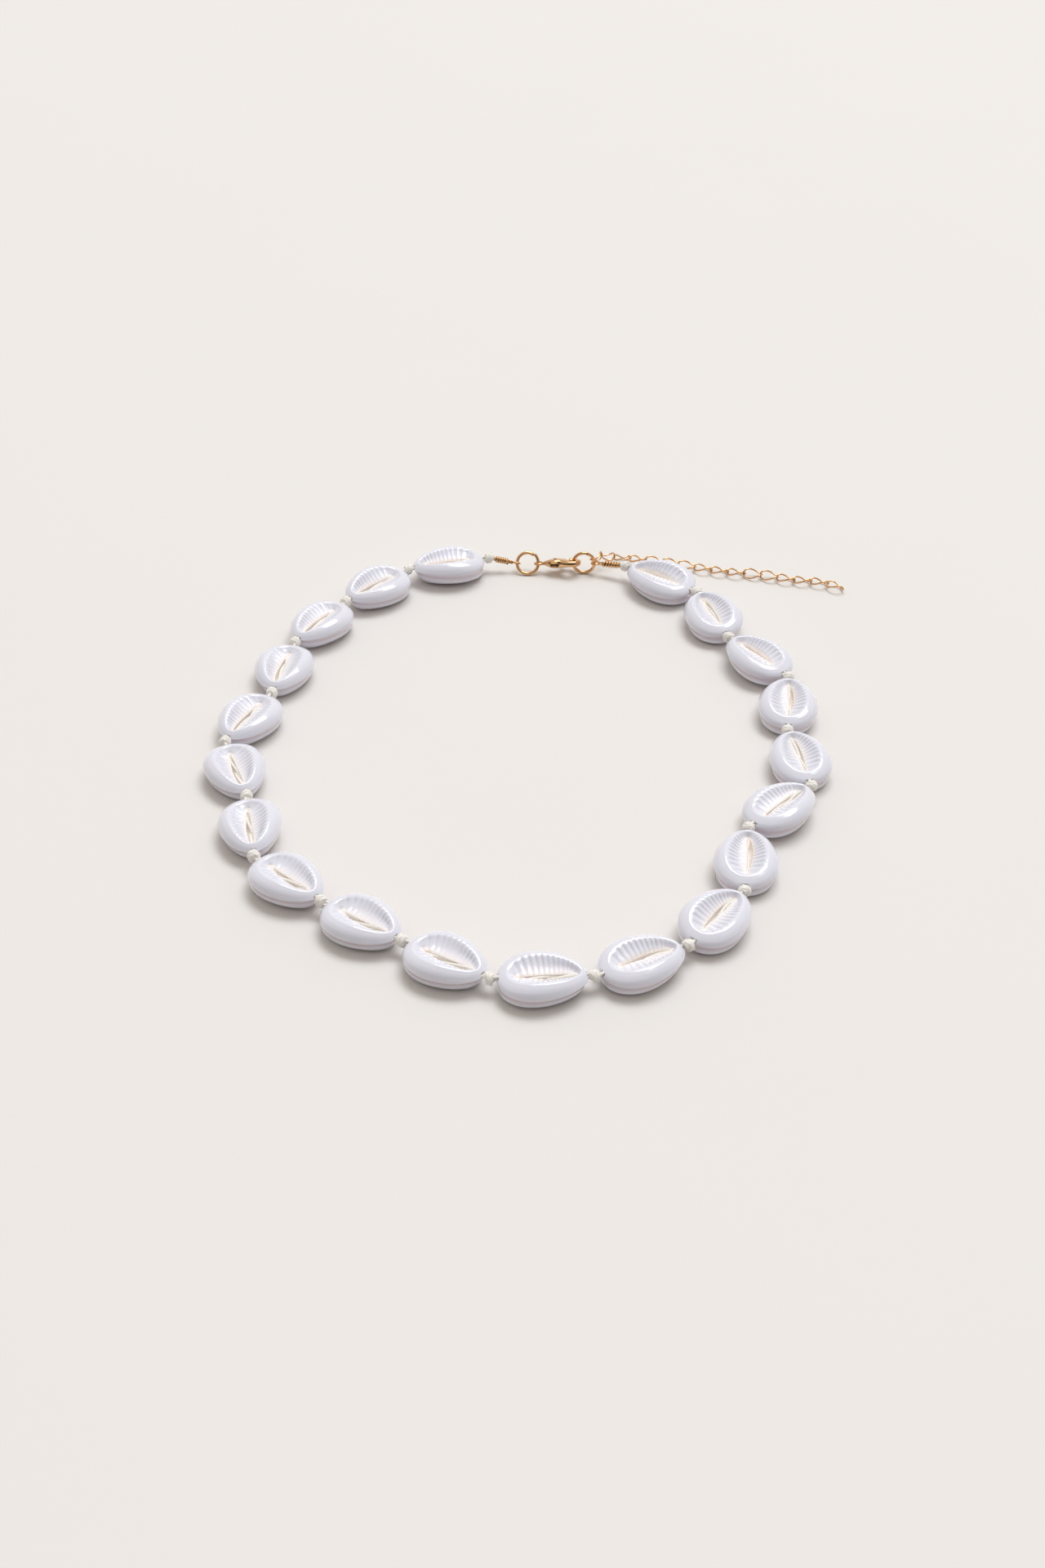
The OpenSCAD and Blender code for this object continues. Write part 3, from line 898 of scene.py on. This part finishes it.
def buildRingTree():
    tree, start, end, size = newTree("jumpRing", ring, Place="Vector", Turn="Vector")
    line = addNode(tree, "CurveArc", {
        "Resolution": 72, "Radius": size["Radius"] * mm, "Start Angle": 0.0,
        "Sweep Angle": (360.0 - size["Gap Angle"]) * math.radians(1.0),
    })
    factor = Field(tree, addNode(tree, "SplineParameter").outputs["Factor"])
    share = factor * 2.0 - 1.0
    bent = share * share * share * share * share * size["Spring"] * mm
    sprung = addNode(tree, "SetPosition", {
        "Geometry": line.outputs[0],
        "Offset": vector(tree, bent * size["Spring Outward"], 0.0, bent),
    })
    tube = tubeAlong(tree, sprung.outputs[0], size["Wire"] * mm, start.outputs["Sides"], 0.0)
    endTree(tree, start, end, tube)
    return tree


ringTree = buildRingTree()
for name, node, side, splitAt in (  # the last value is where the split is, round the ring
        ("jumpRingLeft", "ring_left", "left", 55.0),
        ("jumpRingRight", "ring_right", "right", 75.0)):
    upright = math.radians(90.0 - findings[side + "Lean"])
    turn = Euler((upright, 0.0, math.radians(findings["heading"]))).to_matrix()
    turn = turn @ Matrix.Rotation(math.radians(splitAt), 3, "Z")
    piece = makePiece(name, ringTree, {
        **ring, "Place": onLine(findings[side + "Ring"], findings[side + "Height"]) * mm,
        "Turn": turn.to_euler(), "Material": paleGold,
    })
    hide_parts(node)
print("jump rings made")


chain = {
    "Half Length": 2.38,
    "Half Width": 1.44,
    "Pitch": 4.25,
    "Wire": 0.20,
    "Twist": 90.0,
    "Points": 44,
    "Sides": 10,
}
linkRows = (  # which way a link points, how steeply it falls, and its roll, in degrees
    (55, 11, -58), (30, 27, -54), (6, 6.5, -26), (-16, 0, -16),
    (-14, 0, 16), (-13, 0, 16), (-15, 0, 9), (-17, 0, -13),
    (-13, 0, -16), (-11, 0, -16), (-8, 0, 16), (-17, 0, 11),
    (-16, 0, -12), (-7, 0, -16), (-15, 0, -16), (-36, 0, -15),
)
linkOnRing = {"angle": 27.0, "back": 0.48}


def buildChainTree():
    tree, start, end, size = newTree("extenderLinks", chain)
    line = addNode(tree, "CurvePrimitiveCircle", {
        "Resolution": start.outputs["Points"], "Radius": 1.0})
    place = split(tree, addNode(tree, "InputPosition").outputs[0])  # cosine and sine of the turn
    fold = place[0] * size["Twist"] * math.radians(0.5)
    reach = place[1] * size["Half Width"] * mm
    shaped = addNode(tree, "SetPosition", {
        "Geometry": line.outputs["Curve"],
        "Position": vector(
            tree, (size["Pitch"] * 0.5 + place[0] * size["Half Length"]) * mm,
            reach * fold.op("COSINE"), reach * fold.op("SINE") * -1.0),
    })
    link = tubeAlong(tree, shaped.outputs[0], size["Wire"] * mm, start.outputs["Sides"], 0.0)
    points = addNode(tree, "MeshToPoints", {"Mesh": start.outputs["Geometry"]})
    placed = addNode(tree, "InstanceOnPoints", {
        "Points": points.outputs[0], "Instance": link,
        "Rotation": readField(tree, "turn", "FLOAT_VECTOR"),
    })
    endTree(tree, start, end, placed.outputs[0])
    return tree


def linkWay(row):
    rise = math.radians(-row[1])
    return flatWay(row[0]) * math.cos(rise) + Vector((0.0, 0.0, math.sin(rise)))


held = math.radians(linkOnRing["angle"])
ringLean = math.radians(findings["rightLean"])
ringUp = Vector((0.0, math.sin(ringLean), math.cos(ringLean)))
linkPlaces = [
    onLine(findings["rightRing"] + ring["Radius"] * math.cos(held), findings["rightHeight"])
    + ringUp * ring["Radius"] * math.sin(held)
    - linkWay(linkRows[0]) * linkOnRing["back"]
]
for row in linkRows[:-1]:
    linkPlaces.append(linkPlaces[-1] + linkWay(row) * chain["Pitch"])
linkMesh = meshOfPoints("linkPlaces", linkPlaces, joinedUp=False)
linkTurns = linkMesh.attributes.new("turn", "FLOAT_VECTOR", "POINT")
for k, (way, fall, roll) in enumerate(linkRows):
    linkTurns.data[k].vector = (math.radians(roll), math.radians(fall), math.radians(way))
chainPiece = makePiece(
    "extenderLinks", buildChainTree(), {**chain, "Material": paleGold},
    source=linkMesh)
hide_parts("extender_chain")
print("extender made:", len(linkRows), "links")


clasp = {
    "roll": -20.0,
    "eyeRadius": 1.0,
    "eyeWire": 0.34,
    "pivot": (4.1, 0.4),
    "slotWidth": 1.1,
    "slotReach": 1.1,
    "slotLength": 4.2,
    "dish": 0.16,
    "dishReach": 0.72,
    "dishFall": 1.5,
    "spineDepth": 0.50,
    "spineWidth": 0.66,
    "spineFall": 0.6,
    "rivetRadius": 0.42,
    "rivetFace": 1.02,
    "rivetTop": 1.22,
    "hookCentre": 8.225,
    "hookRadius": 1.75,
    "hookWire": 1.5,
    "hookThinning": 0.05,
    "creaseAngle": 45.0,
}
claspStations = (  # place along and across, width, thickness and how deeply the faces are dished
    (0.95, 0.00, 0.80, 0.60, 0.0), (1.40, 0.00, 1.05, 0.95, 0.0), (1.85, 0.00, 1.55, 1.30, 0.0),
    (2.30, -0.02, 2.20, 1.65, 0.0), (2.75, -0.04, 2.90, 1.95, 0.3), (3.25, -0.07, 3.50, 2.20, 0.8),
    (3.75, -0.10, 3.90, 2.35, 1.0), (4.25, -0.12, 4.05, 2.40, 1.0), (4.75, -0.19, 3.95, 2.40, 1.0),
    (5.25, -0.38, 3.50, 2.32, 0.8), (5.75, -0.66, 2.85, 2.16, 0.4), (6.25, -0.98, 2.30, 1.96, 0.1),
    (6.75, -1.30, 1.95, 1.78, 0.0), (7.25, -1.56, 1.70, 1.62, 0.0), (7.75, -1.71, 1.56, 1.52, 0.0),
)
hookSteps = 16
hookEnd = (  # the small ball at the hook's end: how far back it lies, and the wire's share there
    (0.22, 1.08), (0.45, 1.10), (0.62, 0.96), (0.74, 0.62), (0.80, 0.20),
)
claspRoundness = 2.6  # 2 is an ellipse and more is squarer
claspSides = 48

claspEye = onLine(findings["claspEye"], findings["leftHeight"])
claspHook = onLine(findings["claspEye"] + findings["ringInHook"], findings["rightHeight"])
claspFrame = Matrix.Translation(claspEye * mm) @ anglesTo(
    claspEye, claspHook, clasp["roll"]).to_4x4() @ Matrix.Scale(mm, 4)


def sectionRing(place, across, width, thickness, dish):  # one closed section, as points
    ringPoints = []
    for k in range(claspSides):
        turn = 2 * math.pi * k / claspSides
        c, s = math.cos(turn), math.sin(turn)
        bulge = (abs(c) ** claspRoundness + abs(s) ** claspRoundness) ** (-1 / claspRoundness)
        u, v = c * bulge, s * bulge
        hollow = dish * clasp["dish"] * max(0.0, 1.0 - (u / clasp["dishReach"]) ** 2) \
            ** clasp["dishFall"]
        height = v * thickness / 2 - math.copysign(min(hollow, abs(v) * thickness / 2), v)
        if u < 0:  # the window along the spine
            side = max(0.0, 1.0 - (v / clasp["spineWidth"]) ** 2) ** clasp["spineFall"]
            u += dish * clasp["spineDepth"] * side * 2 / width
        ringPoints.append(place + across * (u * width / 2) + Vector((0.0, 0.0, height)))
    return ringPoints


def loftSections(mesh, sections):  # skins the sections and closes both ends
    rows = [[mesh.verts.new(p) for p in section] for section in sections]
    for first, second in zip(rows, rows[1:]):
        for k in range(len(first)):
            n = (k + 1) % len(first)
            mesh.faces.new((first[k], second[k], second[n], first[n]))
    mesh.faces.new(rows[0])
    mesh.faces.new(list(reversed(rows[-1])))


def claspSections():
    stations = [(Vector((x, y, 0.0)), w, t, d) for x, y, w, t, d in claspStations]
    centre = Vector((clasp["hookCentre"], 0.0, 0.0))
    wire = clasp["hookWire"]
    for step in range(hookSteps + 1):
        turn = math.radians(-90.0 + 180.0 * step / hookSteps)
        taper = wire * (1.0 - clasp["hookThinning"] * step / hookSteps)
        stations.append((centre + Vector((math.cos(turn), math.sin(turn), 0.0))
                         * clasp["hookRadius"], taper, taper, 0.0))
    for back, swell in hookEnd:
        stations.append((centre + Vector((-back, clasp["hookRadius"], 0.0)),
                         wire * swell, wire * swell, 0.0))
    sections = []
    for k, (place, width, thickness, dish) in enumerate(stations):
        before = stations[max(k - 1, 0)][0]
        after = stations[min(k + 1, len(stations) - 1)][0]
        way = (after - before).normalized()
        sections.append(sectionRing(place, Vector((-way.y, way.x, 0.0)), width, thickness, dish))
    return sections


def meshObject(name, build, smooth=True):
    mesh = bmesh.new()
    build(mesh)
    bmesh.ops.recalc_face_normals(mesh, faces=mesh.faces)
    data = bpy.data.meshes.new(name)
    mesh.to_mesh(data)
    mesh.free()
    for face in data.polygons:
        face.use_smooth = smooth
    return addObject(name, data)


def bakeModifiers(piece):  # the result of its modifiers becomes the piece's mesh
    graph = bpy.context.evaluated_depsgraph_get()
    data = bpy.data.meshes.new_from_object(piece.evaluated_get(graph), depsgraph=graph)
    piece.modifiers.clear()
    piece.data = data
    data.name = piece.name
    return piece


def joinRows(mesh, rows):
    for first, second in zip(rows, rows[1:]):
        for m in range(len(first)):
            n = (m + 1) % len(first)
            mesh.faces.new((first[m], first[n], second[n], second[m]))


def addTorus(mesh, centre, radius, wire, steps=40, sides=14):
    rows = []
    for k in range(steps):
        turn = 2 * math.pi * k / steps
        out = Vector((math.cos(turn), math.sin(turn), 0.0))
        rows.append([mesh.verts.new(
            centre + out * (radius + wire * math.cos(2 * math.pi * m / sides))
            + Vector((0.0, 0.0, wire * math.sin(2 * math.pi * m / sides)))) for m in range(sides)])
    joinRows(mesh, rows + rows[:1])


rivetProfile = (  # shares of the head's radius and height, from its dimple to its foot
    (0.02, 0.30), (0.35, 0.34), (0.60, 0.72), (0.80, 0.95), (0.93, 0.80), (1.0, 0.35),
    (1.02, -0.6),
)


def addRivet(mesh, centre, radius, face, top, sides=24):  # a low domed head
    rows = []
    for share, height in rivetProfile:
        z = face + (top - face) * height
        rows.append([mesh.verts.new(centre + Vector((
            radius * share * math.cos(2 * math.pi * m / sides),
            radius * share * math.sin(2 * math.pi * m / sides), z))) for m in range(sides)])
    joinRows(mesh, rows)
    mesh.faces.new(rows[0])
    mesh.faces.new(list(reversed(rows[-1])))


def buildClaspBody():
    body = meshObject("lobsterClasp", lambda mesh: loftSections(mesh, claspSections()))
    corner = Vector((*clasp["pivot"], 0.0)) - Vector((clasp["slotReach"], clasp["slotReach"], 0.0))

    def slotBox(mesh):
        bmesh.ops.create_cube(mesh, size=1.0)
        for vert in mesh.verts:
            vert.co = corner + Vector((
                (vert.co.x + 0.5) * clasp["slotLength"],
                (vert.co.y + 0.5) * clasp["slotLength"], vert.co.z * clasp["slotWidth"]))

    cutter = meshObject("leverSlot", slotBox, smooth=False)
    cut = body.modifiers.new("leverSlot", "BOOLEAN")
    cut.operation = "DIFFERENCE"
    cut.solver = "EXACT"
    cut.object = cutter
    bakeModifiers(body)
    bpy.data.objects.remove(cutter)
    mesh = bmesh.new()
    mesh.from_mesh(body.data)
    addTorus(mesh, Vector((0.0, 0.0, 0.0)), clasp["eyeRadius"], clasp["eyeWire"])
    pin = Vector((*clasp["pivot"], 0.0))
    addRivet(mesh, pin, clasp["rivetRadius"], clasp["rivetFace"], clasp["rivetTop"])
    under = bmesh.new()
    addRivet(under, pin, clasp["rivetRadius"], -clasp["rivetFace"], -clasp["rivetTop"])
    bmesh.ops.reverse_faces(under, faces=under.faces)
    lower = bpy.data.meshes.new("lowerRivet")
    under.to_mesh(lower)
    under.free()
    mesh.from_mesh(lower)
    bmesh.ops.transform(mesh, matrix=claspFrame, verts=mesh.verts)
    for face in mesh.faces:
        face.smooth = True
    for edgeLine in mesh.edges:
        if edgeLine.calc_face_angle(0.0) > math.radians(clasp["creaseAngle"]):
            edgeLine.smooth = False
    mesh.to_mesh(body.data)
    mesh.free()
    body.data.materials.clear()
    body.data.materials.append(paleGold)
    return finishPiece(body, "necklace")


claspBody = buildClaspBody()
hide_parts("clasp_body")
print("clasp body made")


lever = {
    "halfThickness": 0.26,
    "edgeRound": 0.17,
    "knobCentre": (6.1, 2.45),
    "knobRadius": 0.68,
    "knobFlatness": 0.94,  # its thickness along the lever's pin, as a share of its width
}
leverOutline = (
    (3.28, 0.55), (3.42, -0.14), (4.05, -0.44), (4.72, -0.18), (5.45, 0.44), (6.30, 0.86),
    (6.98, 1.38), (7.02, 1.96), (6.60, 2.30), (6.00, 2.45), (5.62, 2.10), (5.20, 1.68),
    (4.55, 1.36), (3.78, 1.20),
)


def buildLever():
    curve = bpy.data.curves.new("claspLever", "CURVE")
    curve.dimensions = "2D"
    curve.fill_mode = "BOTH"
    curve.resolution_u = 8
    curve.extrude = lever["halfThickness"]
    curve.bevel_depth = lever["edgeRound"]
    curve.bevel_resolution = 3
    spline = curve.splines.new("BEZIER")
    spline.bezier_points.add(len(leverOutline) - 1)
    spline.use_cyclic_u = True
    for point, (x, y) in zip(spline.bezier_points, leverOutline):
        point.co = (x, y, 0.0)
        point.handle_left_type = point.handle_right_type = "AUTO"
    flat = addObject("leverPlate", curve)
    bpy.context.view_layer.update()
    plate = bpy.data.meshes.new_from_object(flat)
    bpy.data.objects.remove(flat)

    def build(mesh):
        mesh.from_mesh(plate)
        bmesh.ops.remove_doubles(mesh, verts=mesh.verts, dist=0.002)
        knob = bmesh.ops.create_uvsphere(mesh, u_segments=24, v_segments=16, radius=1.0)["verts"]
        for vert in knob:
            vert.co = Vector((
                lever["knobCentre"][0] + vert.co.x * lever["knobRadius"],
                lever["knobCentre"][1] + vert.co.y * lever["knobRadius"],
                vert.co.z * lever["knobRadius"] * lever["knobFlatness"]))

    piece = meshObject("claspLever", build)
    piece.data.transform(claspFrame)
    piece.data.materials.append(paleGold)
    for edgeLine in piece.data.edges:
        edgeLine.use_edge_sharp = False
    return finishPiece(piece, "lever")


claspLever = buildLever()
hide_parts("clasp_lever")
print("clasp lever made")


# Stage and light
stage = {
    "floor": (0.800, 0.775, 0.752),
    "floorSize": 6.0,
    "paperShade": 0.985,
    "paperCloud": (12.0, 1500.0),
    "paperRoughness": 0.8,
    "keyPower": 225.0,
    "keyColor": (0.96, 1.0, 1.05),
    "keySize": (4.4, 2.8),
    "keyPlace": (1.2, 2.0, 5.6),
    "zenith": 0.64,
    "front": 0.02,
    "skyLean": (0.0, 0.7, 1.0),
    "skyFade": (-0.55, 0.65),
    "sky": (1.04, 0.98, 0.90),
}

floorMesh = bpy.data.meshes.new("floor")
edge = stage["floorSize"]
floorMesh.from_pydata([(-edge, -edge, 0), (edge, -edge, 0), (edge, edge, 0), (-edge, edge, 0)], [],
                      [(0, 1, 2, 3)])
floor = addObject("floor", floorMesh)
paper, paperNodes, paperLinks, paperShader = newMaterial("palePaper")
paperCloud = addMottle(paperNodes, *stage["paperCloud"])
paperColor = mixColors(paperNodes, paperLinks,
                       remap(paperNodes, paperLinks, paperCloud.outputs["Cloud"], 0.0, 1.0),
                       stage["floor"], tuple(v * stage["paperShade"] for v in stage["floor"]))
paperLinks.new(paperColor, paperShader.inputs["Base Color"])
paperShader.inputs["Roughness"].default_value = stage["paperRoughness"]
floorMesh.materials.append(paper)

world = bpy.data.worlds.new("studio")
bpy.context.scene.world = world
world.use_nodes = True
worldNodes = world.node_tree.nodes
worldLinks = world.node_tree.links
backdrop = worldNodes["Background"]
backdrop.inputs["Color"].default_value = (*stage["sky"], 1.0)
skyPlace = worldNodes.new("ShaderNodeTexCoord")
skyShare = worldNodes.new("ShaderNodeVectorMath")  # bright above and behind, dark at the camera
skyShare.operation = "DOT_PRODUCT"
skyShare.inputs[1].default_value = stage["skyLean"]
worldLinks.new(skyPlace.outputs["Generated"], skyShare.inputs[0])
skyFade = worldNodes.new("ShaderNodeMapRange")
skyFade.interpolation_type = "SMOOTHSTEP"
setInputs(skyFade, {
    "From Min": stage["skyFade"][0], "From Max": stage["skyFade"][1],
    "To Min": stage["front"], "To Max": stage["zenith"],
})
worldLinks.new(skyShare.outputs["Value"], skyFade.inputs["Value"])
worldLinks.new(skyFade.outputs["Result"], backdrop.inputs["Strength"])

keyData = bpy.data.lights.new("softbox", "AREA")
keyData.shape = "RECTANGLE"
keyData.size, keyData.size_y = stage["keySize"]
keyData.energy = stage["keyPower"]
keyData.color = stage["keyColor"]
key = addObject("softbox", keyData)
key.location = stage["keyPlace"]
key.rotation_euler = (-Vector(stage["keyPlace"])).to_track_quat("-Z", "Y").to_euler()
bpy.context.scene.view_settings.view_transform = "Standard"
print("stage set")
